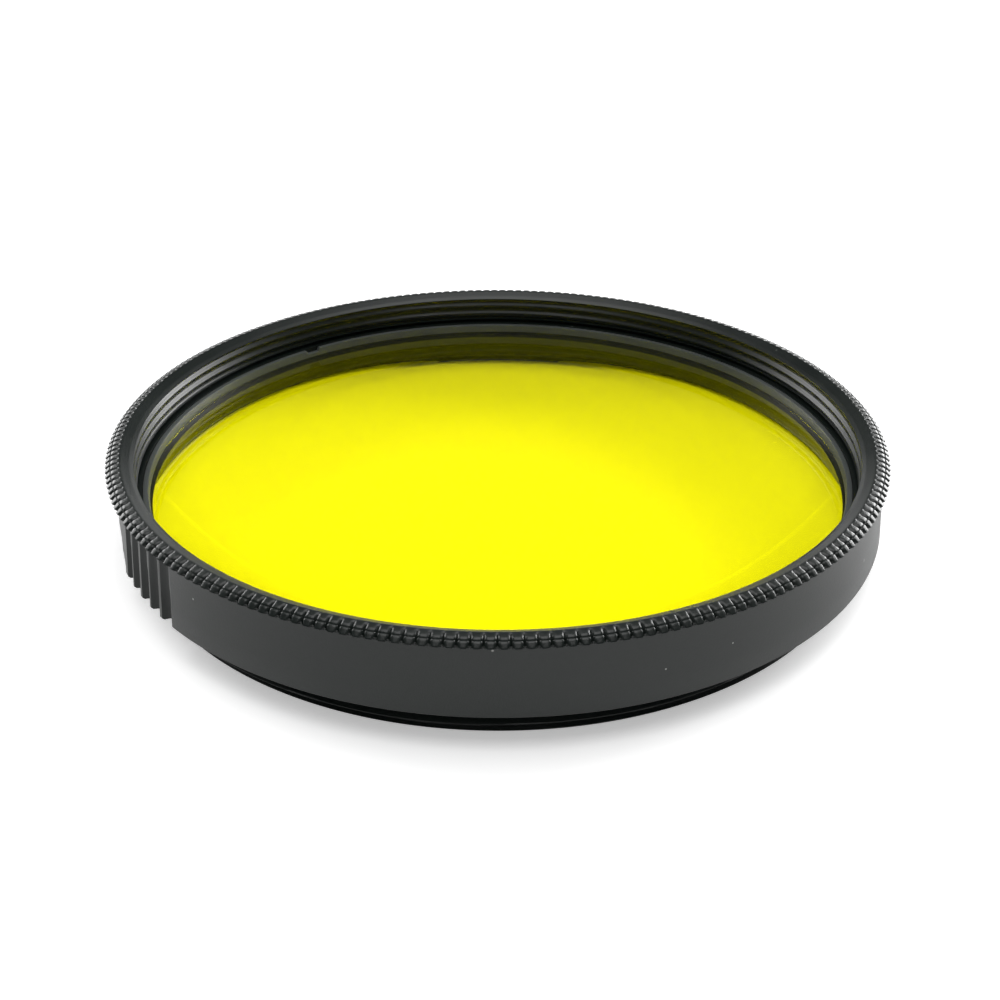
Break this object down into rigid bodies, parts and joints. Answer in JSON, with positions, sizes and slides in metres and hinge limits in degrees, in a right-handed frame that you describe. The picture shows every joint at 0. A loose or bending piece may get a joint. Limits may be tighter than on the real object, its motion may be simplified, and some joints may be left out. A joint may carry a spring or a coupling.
{
  "type": "colour lens filter",
  "caption": "Round screw-in yellow filter for a camera lens: a knurled black ring with grip flutes holds a dyed glass disc under a slotted retaining ring.",
  "frame": {"origin": "centre of the male thread's end face, on which the filter stands", "axes": "+Z along the optical axis, from the male thread towards the knurled front rim; -Y is the side nearest the camera in the picture"},
  "size_m": [0.055, 0.055, 0.0075],
  "materials": {
    "black_ring": "satin",
    "yellow_glass": "gloss",
    "black_retainer": "satin"
  },
  "bodies": {
    "root": {"filter_ring": "black_ring", "colour_glass": "yellow_glass", "retaining_ring": "black_retainer"}
  },
  "joints": []
}
